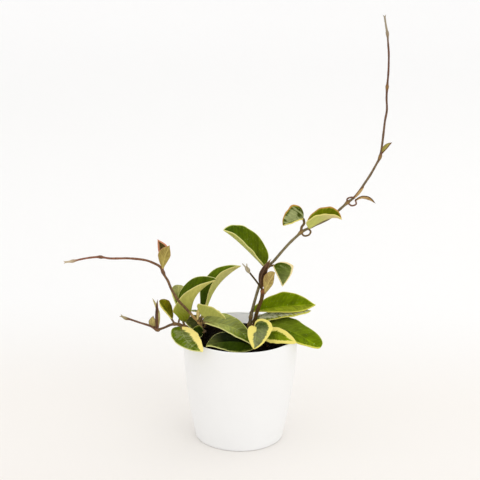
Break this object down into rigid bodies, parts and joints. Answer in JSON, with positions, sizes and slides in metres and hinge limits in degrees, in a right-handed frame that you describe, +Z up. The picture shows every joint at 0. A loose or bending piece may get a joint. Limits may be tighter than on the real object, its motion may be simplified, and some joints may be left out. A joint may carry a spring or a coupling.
{
  "type": "potted hoya plant",
  "caption": "Variegated hoya with cream-edged waxy leaves and long trailing vines, planted in a plain round tapered white pot.",
  "frame": {"origin": "centre of the pot's flat underside, on the surface that the pot stands on", "axes": "+Z up the pot's axis, -Y towards the picture's camera, +X to the right in the picture"},
  "size_m": [0.346, 0.1291, 0.4667],
  "materials": {
    "pot": "satin",
    "soil": "matte",
    "vine": "satin",
    "leaf": "satin"
  },
  "bodies": {
    "root": {"pot": "pot", "soil": "soil", "vine_long": "vine", "vine_short": "vine", "vine_left": "vine", "vine_low": "vine", "leaf_arching_front": "leaf", "leaf_arching_back": "leaf", "leaf_curled_middle": "leaf", "leaf_long_middle": "leaf", "leaf_low_left": "leaf", "leaf_behind_left": "leaf", "leaf_inside_left": "leaf", "leaf_over_rim": "leaf", "leaf_small_left": "leaf", "leaf_upright_left": "leaf", "leaf_front": "leaf", "leaf_cupped_front": "leaf", "leaf_low_right": "leaf", "leaf_broad_right": "leaf", "leaf_upper_right": "leaf", "leaf_under_right": "leaf", "leaf_high_left": "leaf", "leaf_hanging": "leaf", "leaf_node_left": "leaf", "leaf_node_right": "leaf"}
  },
  "joints": []
}
